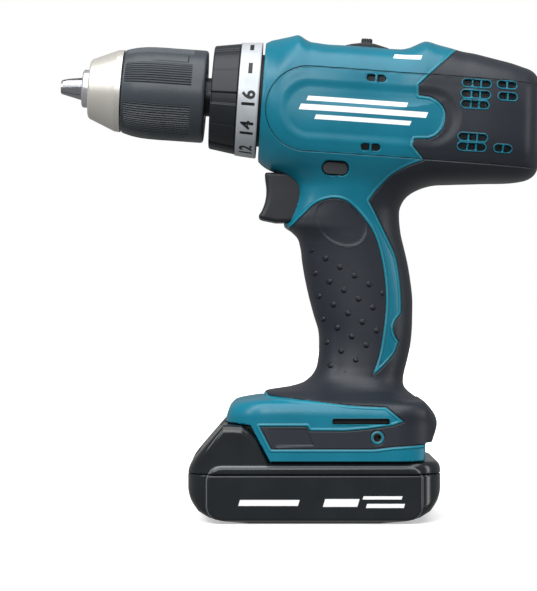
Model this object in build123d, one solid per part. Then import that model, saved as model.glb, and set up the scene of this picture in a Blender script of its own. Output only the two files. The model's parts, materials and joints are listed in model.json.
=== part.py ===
from build123d import *
import math
import os

# Compact 18 V drill driver standing on its slide-on battery.
# Row frame, millimetres: +Z up, +X towards the back of the tool, the nose towards -X, the tool's left side
# at -Y.
# The origin is the centre of the battery's flat underside. The spindle axis leans, nose up, by axis_tilt.
# Everything on the spindle axis is modelled in the barrel frame, with X along the axis towards the back and
# its
# zero where the axis meets the front of the housing.

# ------------------------------------------------------------------ driving dimensions
axis_tilt = 4.0  # degrees, nose up
barrel = Location((-23.1, 0, 188.2), (0, axis_tilt, 0))

barrel_half_width = 31.0
barrel_half_height = 32.5
foot_half_width = 37.5
skin = 1.5  # thickness of the soft overmould
wall = 3.3  # overmould and shell together

capacity_travel = 27.0  # each jaw's travel from closed to 13 mm open
jaw_angle = 13.5  # degrees between a jaw and the spindle axis
jaw_radius = 4.1
jaw_length = 35.0
jaw_tip = -91.2
jaw_turns = (75.0, 195.0, 315.0)  # degrees about the axis, from up towards the tool's left side
running = 0.05  # radial clearance of a shaft in its hole

module = 0.75
sun_teeth = 15
planet_teeth = 15
ring_teeth = 45
pressure_angle = math.radians(20)
backlash = 0.12
pin_radius = 1.8
planet_orbit = module * (sun_teeth + planet_teeth) / 2
stage_planets = ((31.4, 37.2), (20.6, 26.6), (9.0, 16.8))  # along the axis, motor stage first
gear_case_radius = 22.4
ring_gear_radius = 19.75

yoke_radius = 18.6
shaft_radius = 2.5

battery_half_length = 55.8
battery_half_width = 37.2
battery_seam = 21.7
cell_radius = 9.1
cell_length = 65.0

screw_points = (  # where the clamshell screws cross the parting plane, X and Z
    (56.6, 207.3),
    (95.2, 160.0),
    (-5.0, 160.0),
    (32.5, 138.0),
    (1.8, 112.0),
    (38.0, 84.0),
    (8.5, 70.5),
    (46.0, 50.0),
    (-30.0, 50.2),
)
screw_seat = 8.0  # distance of a screw head's underside from the parting plane
hook_x, hook_z = 27.3, 37.9

parts = {}


# ------------------------------------------------------------------ shape helpers
def side_face(*edges):
    """A closed face in the XZ plane from edges drawn in (x, z)."""
    return Plane.XZ * make_face(
        Wire(Edge.make_line(e[0], e[1]) if isinstance(e, tuple) else e for e in edges)
    )


def side_polygon(points):
    return Plane.XZ * make_face(Polyline(*points, close=True))


def slab(face, half_width):
    """A side face made solid, the same distance each side of the parting plane."""
    return extrude(face, amount=half_width, both=True)


def block(x0, x1, y0, y1, z0, z1):
    return Pos((x0 + x1) / 2, (y0 + y1) / 2, (z0 + z1) / 2) * Box(x1 - x0, abs(y1 - y0), z1 - z0)


def turned(points):
    """A closed (along, radius) profile turned about the X axis."""
    return revolve(side_polygon(points), Axis.X)


def tube(start, end, outer, inner=0.0):
    return turned([(start, inner), (end, inner), (end, outer), (start, outer)])


def rod_y(x, z, radius, y0, y1):
    return Pos(x, (y0 + y1) / 2, z) * Rot(90, 0, 0) * Cylinder(radius, abs(y1 - y0))


def around(shape, angle):
    return Rot(angle, 0, 0) * shape


def coil(start, end, radius, wire, turns):
    """A spring's wire wound about the X axis, its ends inside start and end."""
    path = Helix((end - start - 2 * wire) / turns, end - start - 2 * wire, radius)
    section = Plane(path @ 0, z_dir=path % 0) * Circle(wire)
    return Pos(start + wire, 0, 0) * Rot(0, 90, 0) * sweep(section, path)


def group(shapes):
    """Separate solids kept together as one node."""
    return Compound(children=[shape.solids()[0] for shape in shapes])


def add(name, shape, in_barrel=False):
    solids = (barrel * shape if in_barrel else shape).solids()
    parts[name] = solids[0] if len(solids) == 1 else Compound(children=solids)


# ------------------------------------------------------------------ gear teeth
def half_tooth(teeth, radius, thinner):
    """Half the angle that an involute tooth fills at a radius."""
    pitch = module * teeth / 2
    base = pitch * math.cos(pressure_angle)

    def roll(r):
        a = math.acos(min(1.0, base / r))
        return math.tan(a) - a

    return math.pi / (2 * teeth) - thinner / (2 * pitch) + roll(pitch) - roll(max(radius, base))


def gear_face(teeth, root, tip, thinner):
    """A gear's outline in the YZ plane, with one tooth centred straight up."""
    base = module * teeth / 2 * math.cos(pressure_angle)
    start = max(root, base)
    flank = [start + (tip - start) * k / 3 for k in range(4)]
    flank = flank if start == root else [root] + flank
    points = []
    for n in range(teeth):
        middle = math.pi / 2 + 2 * math.pi * n / teeth
        rising = [(r, middle - half_tooth(teeth, r, thinner)) for r in flank]
        falling = [(r, middle + half_tooth(teeth, r, thinner)) for r in reversed(flank)]
        points += [(r * math.cos(a), r * math.sin(a)) for r, a in rising + falling]
    return make_face(Polyline(*points, close=True))


def gear(teeth, start, end, bore=0.0):
    pitch = module * teeth / 2
    solid = extrude(
        Plane.YZ.offset(start) * gear_face(teeth, pitch - 0.78, pitch + 0.63, backlash), amount=end - start
    )
    return solid - tube(start - 1, end + 1, bore) if bore else solid


def ring_gear(start, end):
    pitch = module * ring_teeth / 2
    teeth = gear_face(ring_teeth, pitch - 0.6, pitch + 0.82, -backlash)
    return tube(start, end, ring_gear_radius) - extrude(
        Plane.YZ.offset(start - 1) * teeth, amount=end - start + 2
    )


# ------------------------------------------------------------------ chuck
def jaw_axis_radius(u):
    """Distance of a jaw's own axis from the spindle axis, with the chuck closed."""
    return -1.1 + (u - jaw_tip) * math.tan(math.radians(jaw_angle))


def jaw_rod(radius, before, length):
    """A rod on the first jaw's axis, which leans outwards towards the back."""
    start = jaw_tip - before * math.cos(math.radians(jaw_angle))
    tilt = Location((start, 0, jaw_axis_radius(start)), (0, 90 - jaw_angle, 0))
    return tilt * Pos(0, 0, length / 2) * Cylinder(radius, length)


def jaw(turn):
    """One jaw, ground to a third of the circle at the front, with its grip flat near the axis."""
    body = jaw_rod(jaw_radius, 2.0, jaw_length + 2.0) & block(jaw_tip, 0, -20, 20, 0.45, 30)
    for side in (-1, 1):
        body -= Pos(-60, 0, 0) * Rot(-side * 60, 0, 0) * Pos(0, side * 9.88, 0) * Box(80, 20, 60)
    nose = turned(
        [(jaw_tip, 0), (jaw_tip, 2.9), (jaw_tip + 0.8, 3.35), (jaw_tip + 60, 17.9), (jaw_tip + 60, 0)]
    )
    return around(body & nose, turn)


def chuck():
    body = turned([
        (-81.4, 0), (-81.4, 8.0), (-80.8, 8.6), (-76.6, 8.6), (-76.6, 12.0), (-66.4, 16.4), (-63.6, 16.9),
        (-63.6, 8.8), (-56.4, 8.8), (
            -56.4, 17.4
        ), (-28.6, 17.4), (-28.0, 16.8), (-28.0, 11.4), (-25.7, 11.4), (-25.7, 0),
    ])
    body -= tube(-82, -47, 6.5) + tube(-48, -41, 3.1) + tube(-42, -25, 6.2)
    for turn in jaw_turns:
        body -= around(jaw_rod(jaw_radius + running, 12, 84), turn)
    add("chuck_body", body.solids().sort_by(SortBy.VOLUME)[-1], True)
    add("nose_cone", turned([
        (-78.2, 8.7), (
            -78.2, 12.7
        ), (-77.5, 13.5), (-66.9, 18.0), (-65.9, 18.4), (-63.4, 18.6), (-63.4, 17.1),
        (-66.3, 16.6), (-76.7, 12.2), (-76.7, 8.7),
    ]), True)
    add("chuck_screw",
    tube(-49.4, -47, 4.0) - extrude(Plane.YZ.offset(-49.5) * RegularPolygon(2.0, 6), amount=1.6)
        + tube(-47, -34, 3.0), True)
    slope = math.tan(math.radians(jaw_angle))
    nut_front = jaw_axis_radius(-62.5) + jaw_radius / math.cos(math.radians(jaw_angle)) + 0.12
    add("chuck_nut", turned([
        (-62.5, nut_front), (-62.5, 17.0), (-57.0, 17.0), (-57.0, nut_front + 5.5 * slope),
    ]), True)
    add("chuck_sleeve", turned([
        (
            -62.8, 17.0
        ), (-62.8, 18.7), (-62.0, 19.1), (-56.5, 20.4), (-50, 20.9), (-26.6, 20.9), (-25.5, 20.2),
        (-25.5, 11.8), (-27.3, 11.8), (-27.3, 17.7), (-56.6, 17.7), (-56.6, 17.0),
    ]), True)
    for n, turn in enumerate(jaw_turns):
        add(f"jaw_{n + 1}", jaw(turn), True)


# ------------------------------------------------------------------ gearbox and clutch
def planet_pins(start, end):
    pin = Pos((start + end) / 2, 0, planet_orbit) * Rot(0, 90, 0) * Cylinder(pin_radius, end - start)
    return [around(pin, k * 120)
            for k in range(3)]


def ball_bearing(start, end, outer, inner):
    """Two races and a ring of balls, as separate solids."""
    race = (outer - inner) * 0.24
    gap = outer - inner - 2 * race
    ball = [
        around(
            Pos((start + end) / 2, 0, (outer + inner) / 2) * Sphere(gap / 2 - 0.03), n * 360 / 9
        ) for n in range(9)
    ]
    return tube(start, end, outer, outer - race) + tube(start, end, inner + race, inner) + ball


def gearbox():
    spindle = turned([
        (-41.8, 0), (-41.8, 5.6), (
            -41.2, 6.15
        ), (-25.6, 6.15), (-25.6, 8.7), (-21.4, 8.7), (-21.4, 5.97), (8.4, 5.97), (8.4, 0),
    ]) - tube(-42, -33, 3.05)
    add("spindle", spindle + tube(5.5, 8.4, 15.9, 5.9) + planet_pins(8.4, 17.2), True)
    add("spindle_bearing", ball_bearing(-20.2, -12.2, 14.0, 6.02), True)

    case = around(turned([
        (-21.2, 9.2), (-21.2, 16.6), (-5.6, 16.6), (-5.6, 20.8), (1.6, 20.8), (1.6, gear_case_radius), (
            38.5, gear_case_radius
        ),
        (38.5, 19.8), (2.6, 19.8), (2.6, 12.0), (-12.2, 12.0), (-12.2, 14.0), (-20.2, 14.0), (-20.2, 9.2),
    ]), 45)
    pin_bores = [
        around(Pos(-1.5, 0, 18.2) * Rot(0, 90, 0) * Cylinder(1.5, 12), 60 * n + 30) for n in range(6)
    ]
    case -= pin_bores
    case -= block(20.8, 29.4, -2.5, 2.5, 18, 24)
    add("gear_case", case, True)
    add("clutch_pins", group(around(Pos(-1.5, 0, 18.2) * Rot(0, 90, 0) * Cylinder(1.42, 9.0), 60 * n + 30)
                             for n in range(6)), True)
    add("thrust_washer", tube(-7.0, -6.02, 20.4, 16.8), True)
    add("clutch_spring", coil(-15.6, -7.0, 18.7, 1.0, 3), True)
    add("spring_nut", tube(-17.6, -15.62, 20.9, 16.8), True)

    selector_groove = tube(21.3, 23.7, 21, 18.6)
    add("fixed_ring_gears", group([ring_gear(3.02, 17.8), ring_gear(31.5, 38.3)]), True)
    add("sliding_ring_gear", ring_gear(19.6, 26.2) - selector_groove, True)
    add("carrier_2", tube(18.0, 20.2, 15.9) + gear(sun_teeth, 9.0, 18.0) + planet_pins(20.2, 28.0), True)
    add("carrier_1", tube(28.6, 31.0, 15.9) + gear(sun_teeth, 20.6, 28.6) + planet_pins(31.0, 37.6), True)
    for stage, (start, end) in enumerate(stage_planets):
        planet = Pos(0, 0, planet_orbit) * gear(planet_teeth, start, end, pin_radius + running)
        for k in range(3):
            add(f"planet_{stage + 1}{'abc'[k]}", around(planet, k * 120), True)
    plate = tube(38.5, 40.5, gear_case_radius, 4.2) + tube(40.5, 43.6, 9.0, 6.5) - tube(39.4, 41, 6.5)
    add("gear_case_cover", plate, True)


# ------------------------------------------------------------------ motor
def motor():
    add("motor_shaft", gear(sun_teeth, 31.4, 38.3) + tube(38.3, 108.4, shaft_radius), True)
    bearings = [ball_bearing(start, start + 3.9, 6.48, shaft_radius + 0.02) for start in (39.45, 103.0)]
    add(
        "motor_bearings", Compound(children=[solid for bearing in bearings for solid in bearing.solids()]),
        True
    )
    fan = tube(44.4, 50.2, 5.6, shaft_radius) + tube(49.0, 50.2, 17.4, 5.6)
    blade = block(44.8, 49.0, -0.5, 0.5, 5.4, 17.0)
    add("motor_fan", fan + [around(blade, 30 * n) for n in range(12)], True)
    add("motor_yoke", tube(52, 96, yoke_radius, 16.8), True)
    sector = block(55, 91, -20, 20, 0, 20) - Rot(25, 0, 0) * block(50, 95, -30, 30, -30, 0)
    magnet = tube(56, 90, 16.75, 14.6) & (sector - Rot(-25, 0, 0) * block(50, 95, -30, 30, -30, 0))
    add("motor_magnets", Compound(children=[magnet.solids()[0], around(magnet, 180).solids()[0]]), True)
    slots = [around(block(57, 87, -0.9, 0.9, 11.2, 14.5), 30 * n) for n in range(12)]
    add("armature_core", tube(58, 86, 13.8, shaft_radius) - slots, True)
    commutator = tube(91.0, 98.4, 6.2, shaft_radius) - [
        around(block(91.8, 98.6, -0.2, 0.2, 5.6, 6.5), 30 * n) for n in range(12)
    ]
    windings = [tube(53.4, 58, 12.6, shaft_radius), tube(86, 90.4, 12.6, shaft_radius)]
    add("armature_copper", group(windings + [commutator]), True)
    sleeves = [
        block(
            92.0, 98.8, s * 8.0, s * 15.8, -3.4, 3.4
        ) - block(91, 98, s * 7.0, s * 17, -2.3, 2.3) for s in (-1, 1)
    ]
    add("brush_holder", tube(98.8, 101.0, 18.4, 7.4) + sleeves, True)
    add("carbon_brushes", Compound(children=[
        block(92.4, 97.6, s * 6.3, s * 14.6, -2.2, 2.2).solids()[0] for s in (-1, 1)
    ]), True)


# ------------------------------------------------------------------ housing shapes
def barrel_shape(inset):
    """The motor housing: its side outline, its end section and its plan, each moved in by inset."""
    outline = [
        (0, -26.6), (4, -29.6), (12, -30.4), (60, -30.8), (92, -31.4), (118, -28.4), (
            124.2, -25.4
        ), (126.6, -19),
        (
            124.6, 20.2
        ), (106, 25.6), (87, 28.4), (79, 30.9), (70.5, 31.6), (65.5, 29.2), (60, 27.8), (24.5, 27.8),
        (18.5, 28.6), (11, 30.2), (2.5, 28.0), (0, 26.8),
    ]
    side = offset(
        make_face(Polyline(*outline, close=True)), amount=-inset
    ) if inset else make_face(Polyline(*outline, close=True))
    half = [
        (0, 26.8), (8, 29.6), (16, barrel_half_width), (108, barrel_half_width), (119, 27.5), (124, 22),
        (126.6, 14)
    ]
    plan = make_face(Polyline(*half, *[(x, -y) for x, y in reversed(half)], close=True))
    plan = offset(plan, amount=-inset) if inset else plan
    section = RectangleRounded(2 * (barrel_half_width - inset), 2 * (barrel_half_height - inset), 27 - inset)
    shape = slab(Plane.XZ * side, 60) & extrude(Plane.XY * plan, amount=60, both=True)
    shape &= extrude(Plane.YZ.offset(-5) * Pos(0, -0.4) * section, amount=140)
    return barrel * shape


def grip_shape(inset):
    """The neck and handle: rounded sections stacked along the height, flaring into the foot."""
    stations = [  # height, front, back, half width
        (174, -22, 74, 27), (160, -15, 56, 24.5), (152, -9.0, 46, 22.3), (
            145, -7.4, 41.6, 20.8
        ), (138, -8.6, 39.2, 19.8),
        (131, -9.6, 39.4, 19.0), (122, -5.9, 40.9, 18.6), (107, -3.6, 44.0, 18.2), (90.7, 0.4, 44.9, 18.0),
        (77, 2.6, 43.7, 17.6), (66, 0.9, 41.4, 18.2), (60, -4.0, 41.0, 21.0), (
            56, -20.0, 45.0, 30.0
        ), (44, -24.0, 46.0, 32.0),
    ]
    sections = []
    for height, front, back, half in stations:
        length, width = back - front - 2 * inset, 2 * (half - inset)
        sections.append(
            Pos((front + back) / 2, 0, height) * RectangleRounded(length, width, min(length, width) * 0.42)
        )
    return loft(sections, ruled=True)


def foot_shape(inset):
    outline = [
        (
            -38.9, 44.2
        ), (-38.9, 50.4), (-35.3, 52.8), (-24, 55.6), (-21, 57.4), (42, 57.2), (48.6, 52.8), (54, 47.6),
        (55.8, 44.6), (54.8, 40.4), (51.0, 36.2), (50.4, 30.4), (36, 27.6), (
            -19.3, 27.6
        ), (-24.6, 38.2), (-28.0, 41.9), (-31.0, 43.9),
    ]
    side = make_face(Polyline(*outline, close=True))
    side = offset(side, amount=-inset) if inset else side
    plan = Pos(8.4, 0) * RectangleRounded(94.6 - 2 * inset, 2 * (foot_half_width - inset), 20 - inset)
    return slab(Plane.XZ * side, 60) & extrude(plan, amount=80)


def tool_body(inset):
    return barrel_shape(inset) + grip_shape(inset) + foot_shape(inset)


def soft_zones():
    """Side outlines of the soft overmould: the tool's back, the grip's front and the foot's band."""
    back = [
        Polyline((27, 51.4), (31.2, 51.3), (38.9, 44.9), (34.1, 33.9), (70, 36), (160, 120), (160, 235),
        (90, 235),
                 (64.4, 209.9), (45.9, 192.4), (45.9, 187.8), (47.2, 187.8)),
        ThreePointArc((47.2, 187.8), (57.5, 178.2), (50.2, 168.7)),
        Polyline((50.2, 168.7), (44.1, 168.7), (43.2, 165.8), (48.4, 159.6)),
        Spline((48.4, 159.6), (34.3, 153.1), (27.6, 146.3), (24.4, 141.9)),
        Spline((24.4, 141.9), (32.9, 125.7), (38.4, 108), (39.2, 91.8)),
        Spline((39.2, 91.8), (35.6, 85.2), (38.1, 79.5)),
        Spline((38.1, 79.5), (33.4, 70.8), (25.9, 64)),
        Line((25.9, 64), (27, 51.4)),
    ]
    front = [
        Spline((25.9, 64), (31, 84.3), (31.7, 106.5), (26.9, 127.2), (22.5, 133.8)),
        Spline((22.5, 133.8), (15.9, 140.8), (8, 143), (-0.4, 140.1), (-10.7, 130.1)),
        Polyline((-10.7, 130.1), (-40, 112), (-40, 57.1), (-21.9, 57.1), (-20.2, 55.5)),
        Spline((-20.2, 55.5), (-2.9, 54.2), (16.4, 52.0), (27, 51.4)),
        Line((27, 51.4), (25.9, 64)),
    ]
    band = Polyline((38.9, 44.9), (34.1, 43.2), (13.1, 40.8), (-2.3, 40.9), (-3.3, 42.8), (-24.1, 42.8),
                    (-19.0, 32.9), (25.9, 32.9), (34.1, 33.9), close=True)
    return [slab(Plane.XZ * make_face(edges), 60) for edges in (back, front, band)]


def vent_slots():
    """The air slots through both sides of the housing, in the barrel frame."""
    rows = [
        (92.9, 11.6, 13.4), (107.2, 12.1, 9.2), (93.0, 6.7, 13.0), (107.6, 6.9, 9.2), (93.0, 2.2, 12.4),
        (92.9, -12.1, 13.6), (93.0, -16.4, 13.4), (107.6, -16.1, 8.2), (49.7, 10.8, 6.6), (49.2, -19.6, 6.6),
    ]
    return [
        Pos(u, 0, v) * Rot(90, 0, 0) * extrude(SlotOverall(length, 2.9), amount=60, both=True) for u, v,
        length in rows
    ]


# ------------------------------------------------------------------ housing
def selector_profile():
    return [
        (34.8, 28.15), (38.8, 29.5), (42.9, 30.3), (43.2, 32.2), (47.7, 32.5), (48.8, 30.3), (55.4, 28.6),
        (55.4, 28.15)
    ]


def lens_profile(grow=0.0):
    return [
        (0.4 - grow, -27.35 - grow), (3.3, -29.3 - 2 * grow), (4.75 + grow, -27.15), (1.85, -25.2 + grow)
    ]


def housing():
    outer = tool_body(0)
    core = tool_body(skin)
    hollow = tool_body(wall) + barrel * tube(-2, 8, 23.3) - block(-60, 80, -60, 60, 20, 46.6)
    zones = soft_zones()
    overmoulds = [(outer & zone) - core for zone in zones]
    shell = outer
    for zone in zones:
        shell -= zone
    shell = shell + core - hollow

    ribs = [barrel * (block(u, u + 1.8, -40, 40, -15, 40) - tube(u - 1, u + 3, radius)) for u, radius in (
        (12, gear_case_radius + 0.05), (34, gear_case_radius + 0.05), (60, yoke_radius + 0.05),
        (88, yoke_radius + 0.05))]
    bearing_web = barrel * (block(103.2, 106.8, -40, 40, -12, 12) - tube(102, 108, 6.5))
    bosses = [rod_y(x, z, 4.2, -40, 40) for x, z in screw_points]
    inside = (ribs[0] + ribs[1:] + bearing_web + bosses) & tool_body(skin + 0.5)
    inside -= barrel * block(20, 62, -5.2, 5.2, 19, 35)

    rails = block(-60, 46.8, -30.6, 30.6, 34.8, 43.8) + block(-60, 46.8, -27.9, 27.9, 20, 35)
    openings = [
        block(-45, 8.2, -11.2, 11.2, 132.6, 155.6),  # trigger slot
        barrel * block(40.6, 57.2, -4.6, 4.6, 20, 40),  # speed selector slot
        barrel * Pos(34.6, 0, -29.5) * Rot(90, 0, 0) * extrude(
            RectangleRounded(11.7, 6.1, 3.0), amount=60, both=True
        ),
        barrel * slab(side_polygon(lens_profile(0.12)), 4.15),  # light window
        rails,
        block(30.4, 46.4, -15.4, 15.4, 34, 47.6),  # terminal block window
        block(-34.5, -30.0, -9.4, 9.4, 43, 48.2),  # latch pocket
    ]
    for side in (-1, 1):
        openings.append(rod_y(hook_x, hook_z, 3.6, side * 31.0, side * 35.5))
        openings.append(rod_y(hook_x, hook_z, 2.4, side * 29.9, side * 31.2))
        openings.append(rod_y(hook_x, hook_z, 2.1, side * 35.0, side * 40.0))
        slot = Pos(20.2, side * 36, 45.1) * Rot(0, axis_tilt, 0) * Box(24.6, 5.0, 1.9)
        openings.append(slot)
    vents = [barrel * v for v in vent_slots()]

    shell += inside
    for x, z in screw_points:
        openings.append(rod_y(x, z, 3.3, screw_seat, 60))
        shell -= rod_y(x, z, 1.6, -0.1, screw_seat + 1) + rod_y(x, z, 1.42, -12.5, 0)
    for cut in openings + vents:
        shell -= cut
        overmoulds = [soft - cut for soft in overmoulds]
    for side, name in ((-1, "left"), (1, "right")):
        half_space = Pos(0, side * 60, 120) * Box(400, 120, 400)
        add(f"{name}_housing", (shell & half_space).solids().sort_by(SortBy.VOLUME)[-1])
        add(f"{name}_overmould", Compound(children=[
            solid for soft in overmoulds for solid in (soft & half_space).solids() if solid.volume > 60
        ]))
    screws = [rod_y(x, z, 2.9, screw_seat, screw_seat + 2.2) - rod_y(x, z, 1.1, screw_seat + 1,
    screw_seat + 3)
              + rod_y(x, z, 1.4, -11, screw_seat) for x, z in screw_points]
    hook_nuts = [rod_y(hook_x, hook_z, 3.55, side * 31.0, side * 35.4) - rod_y(hook_x, hook_z, 1.65,
    side * 30, side * 40)
                 for side in (-1, 1)]
    add("housing_fasteners", group(screws + hook_nuts))


# ------------------------------------------------------------------ controls
def controls():
    outline = [
        Spline((-22.0, 154.6), (-21.1, 146.5), (-22.2, 140.4), (-24.7, 135.8)),
        Polyline(
            (-24.7, 135.8), (-24.0, 134.4), (-17.3, 133.4), (0.6, 133.4), (0.6, 153.4), (-21.6, 155.3),
            (-22.0, 154.6)
        ),
    ]
    plan = Pos(4, 0, 120) * RectangleRounded(58, 21.4, 4.5)
    finger = slab(Plane.XZ * make_face(outline), 12) & extrude(plan, amount=50)
    plunger = Pos(4.4, 0, 146) * Rot(0, 90, 0) * Cylinder(2.5, 8)
    add("trigger", finger + plunger)
    add(
        "switch_unit",
        block(8.8, 27, -9, 9, 131, 153) - Pos(12, 0, 146) * Rot(0, 90, 0) * Cylinder(2.5 + running, 8)
    )
    bar = extrude(RectangleRounded(10.9, 5.3, 2.6), amount=23.9, both=True)
    waist = block(-8, 8, 2.0, 4, -18, 18)
    add("reversing_lever", Pos(34.6, 0, -29.5) * Rot(90, 0, 0) * (bar - waist), True)
    plate = slab(side_polygon(selector_profile()), 7.2)
    stem = block(43, 50, -4, 4, 24.3, 28.2) + block(21.5, 50, -3, 3, 22.8, 24.4) + block(
        21.5, 23.5, -2, 2, 18.9, 23.2
    )
    add("speed_selector", plate + stem, True)
    add("light_lens", slab(side_polygon(lens_profile()), 4), True)


def rings():
    add("torque_ring", turned([
        (
            -22.8, 10.2
        ), (-22.8, 22.8), (-22.3, 23.3), (-11.1, 25.0), (-11.1, 21.1), (-21.4, 21.1), (-21.4, 10.2)
    ]), True)
    add("scale_ring", turned([(-11.0, 21.1), (-11.0, 25.5), (-1.2, 26.3), (-1.2, 21.1)]), True)


def wiring():
    """Two leads from the battery terminals up to the switch, and two on from there to the brushes."""
    leads = []
    for side in (-1, 1):
        up = Plane.XZ * FilletPolyline((36, 47.6), (32, 62), (20, 96), (20, 131), radius=[20, 40])
        leads.append(Pos(0, side * 6, 0) * sweep(Plane(up @ 0, z_dir=up % 0) * Circle(1.3), up))
        along = Plane.XZ * FilletPolyline(
            (49.6, -29.0), (52, -23.2), (99.9, -23.2), (99.9, -18.5), radius=[3.0, 3.0]
        )
        leads.append(
            barrel * Pos(0, side * 5, 0) * sweep(Plane(along @ 0, z_dir=along % 0) * Circle(1.1), along)
        )
    add("leads", group(leads))


# ------------------------------------------------------------------ battery
def battery_shape(inset):
    outline = [
        (-34.8, 0), (-44, 1.0), (-50.8, 3.6), (-54.6, 7.6), (-55.8, 12), (
            -55.8, 25.2
        ), (-40.6, 42.5), (-37.9, 43.4),
        (
            -32.0, 43.2
        ), (-28.9, 41.2), (-25.3, 37.8), (-20.0, 27.2), (46, 27.2), (53.2, 26.2), (55.8, 23.6), (55.8, 12),
        (54.6, 7.6),
        (50.6, 4.4), (39.4, 1.1), (28.5, 0),
    ]
    side = make_face(Polyline(*outline, close=True))
    side = offset(side, amount=-inset) if inset else side
    plan = RectangleRounded(2 * (battery_half_length - inset), 2 * (battery_half_width - inset), 15 - inset)
    return slab(Plane.XZ * side, 60) & extrude(Pos(0, 0, -5) * plan, amount=60)


def battery():
    outer, inner = battery_shape(0), battery_shape(2.2)
    everywhere = 90
    low = block(-everywhere, everywhere, -everywhere, everywhere, -10, battery_seam)
    add("battery_lower_case", (outer - inner) & low)
    platform = block(-32, 29, -30.2, 30.2, 35.2, 43.4) + block(-32, 29, -27.5, 27.5, 24, 35.2)
    platform -= block(-29.9, 26.8, -25.3, 25.3, 20, 41.2)
    upper = (outer - inner) - block(
        -everywhere, everywhere, -everywhere, everywhere, -10, battery_seam
    ) + platform
    upper -= block(-29.9, 26.8, -25.3, 25.3, 20, 41.2)
    upper += block(-43, -35, -36, 36, 26.4, 28.2) & inner
    latch_window = side_polygon([(-60, 24.0), (-48.5, 24.0), (-37.5, 37.0), (-37.5, 60), (-60, 60)])
    upper -= slab(latch_window, 14.3)
    upper -= block(-34.5, -30.0, -9.3, 9.3, 30, 50)
    upper -= block(-45, -29, -7.4, 7.4, 30.6, 38.6)
    for y in (-10, 10):
        upper -= block(10, 30, y - 1.3, y + 1.3, 36, 50)
    add("battery_upper_case", upper.solids().sort_by(SortBy.VOLUME)[-1])
    cells = [
        rod_y(x, 13.6, cell_radius, -cell_length / 2, cell_length / 2) for x in (-36.8, -18.4, 0, 18.4, 36.8)
    ]
    add("battery_cells", Compound(children=[c.solids()[0] for c in cells]))
    add("battery_board", block(-28, 26, -24, 24, 24.2, 25.8))
    contacts = [block(12, 25, y + s * 0.5, y + s * 1.2, 25.8, 41.0) for y in (-10, 10) for s in (-1, 1)]
    add("battery_contacts", Compound(children=[c.solids()[0] for c in contacts]))
    button = slab(side_polygon([(-51.0, 30.7), (-42.0, 41.0), (-39.8, 39.0), (-48.8, 28.7)]), 13.9)
    tongue = block(-33.9, -30.5, -8.8, 8.8, 34.4, 46.6) + block(-44, -30.5, -7, 7, 34.4, 37.2)
    add("battery_latch", button + tongue)
    spring = Pos(-39, 0, 28.2) * Rot(0, -90, 0) * coil(0, 6.2, 2.8, 0.4, 4)
    add("latch_spring", spring)


def terminals():
    add("terminal_block", block(30.6, 46.2, -15.2, 15.2, 37, 47.0))
    add(
        "terminal_blades",
        Compound(children=[block(13, 30.6, y - 0.4, y + 0.4, 37.5, 42.6).solids()[0] for y in (-10, 10)])
    )


chuck()
gearbox()
motor()
housing()
controls()
rings()
wiring()
battery()
terminals()

os.makedirs("parts", exist_ok=True)
for node_name, node_shape in parts.items():
    export_step(node_shape, f"parts/{node_name}.step")
print(len(parts), "nodes")
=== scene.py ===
import json
import math
import bpy
import numpy as np
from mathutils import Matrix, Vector


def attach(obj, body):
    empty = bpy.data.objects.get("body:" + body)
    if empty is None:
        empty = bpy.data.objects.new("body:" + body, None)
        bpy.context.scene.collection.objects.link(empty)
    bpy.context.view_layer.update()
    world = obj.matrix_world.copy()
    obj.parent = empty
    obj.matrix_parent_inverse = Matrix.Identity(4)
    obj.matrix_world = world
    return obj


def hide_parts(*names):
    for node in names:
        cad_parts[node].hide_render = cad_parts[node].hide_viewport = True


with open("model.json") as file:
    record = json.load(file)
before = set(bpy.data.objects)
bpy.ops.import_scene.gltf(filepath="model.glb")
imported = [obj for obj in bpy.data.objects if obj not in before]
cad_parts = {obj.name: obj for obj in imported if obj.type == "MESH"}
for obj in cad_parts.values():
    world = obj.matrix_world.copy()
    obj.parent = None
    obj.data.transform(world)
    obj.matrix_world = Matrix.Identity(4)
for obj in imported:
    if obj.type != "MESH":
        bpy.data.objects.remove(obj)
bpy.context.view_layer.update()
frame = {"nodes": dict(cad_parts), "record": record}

mm = 0.001

# the barrel leans nose up, and its own coordinates are along (towards the back) and up from this point, in mm
barrel = {"tilt": math.radians(4.0), "x": -23.1, "z": 188.2}
lean = (math.cos(barrel["tilt"]), math.sin(barrel["tilt"]))


def toBarrel(x, z):  # along and up, from world x and z
    dx, dz = x - barrel["x"], z - barrel["z"]
    return dx * lean[0] - dz * lean[1], dx * lean[1] + dz * lean[0]


def fromBarrel(along, up):  # world x and z, from along and up
    return barrel["x"] + along * lean[0] + up * lean[1], barrel["z"] - along * lean[1] + up * lean[0]


# lines and distances, worked out on whole arrays of points, in mm


def curve(points):  # a smooth line through points: cubic pieces with slopes from the neighbours
    px, py = np.array(points, float).T
    slope = np.gradient(py, px)

    def value(t):
        t = np.clip(t, px[0], px[-1])
        i = np.clip(np.searchsorted(px, t) - 1, 0, len(px) - 2)
        gap = px[i + 1] - px[i]
        s = (t - px[i]) / gap
        left, right = slope[i] * gap, slope[i + 1] * gap
        start = (py[i] * (1 + 2 * s) + left * s) * (1 - s) ** 2
        return start + (py[i + 1] * (3 - 2 * s) - right * (1 - s)) * s * s

    return value


def smoothRun(points, each=8):  # points along a Catmull-Rom line through the given points
    p = np.array(points, float)
    ends = np.vstack([2 * p[0] - p[1], p, 2 * p[-1] - p[-2]])
    t = np.linspace(0, 1, each, endpoint=False)[None, :, None]
    a, b, c, d = (ends[k:len(p) - 1 + k, None, :] for k in range(4))
    run = 0.5 * (2 * b + (c - a) * t + (2 * a - 5 * b + 4 * c - d) * t * t + (3 * b - a - 3 * c + d) * t ** 3)
    return np.vstack([run.reshape(-1, 2), p[-1:]])


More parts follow.
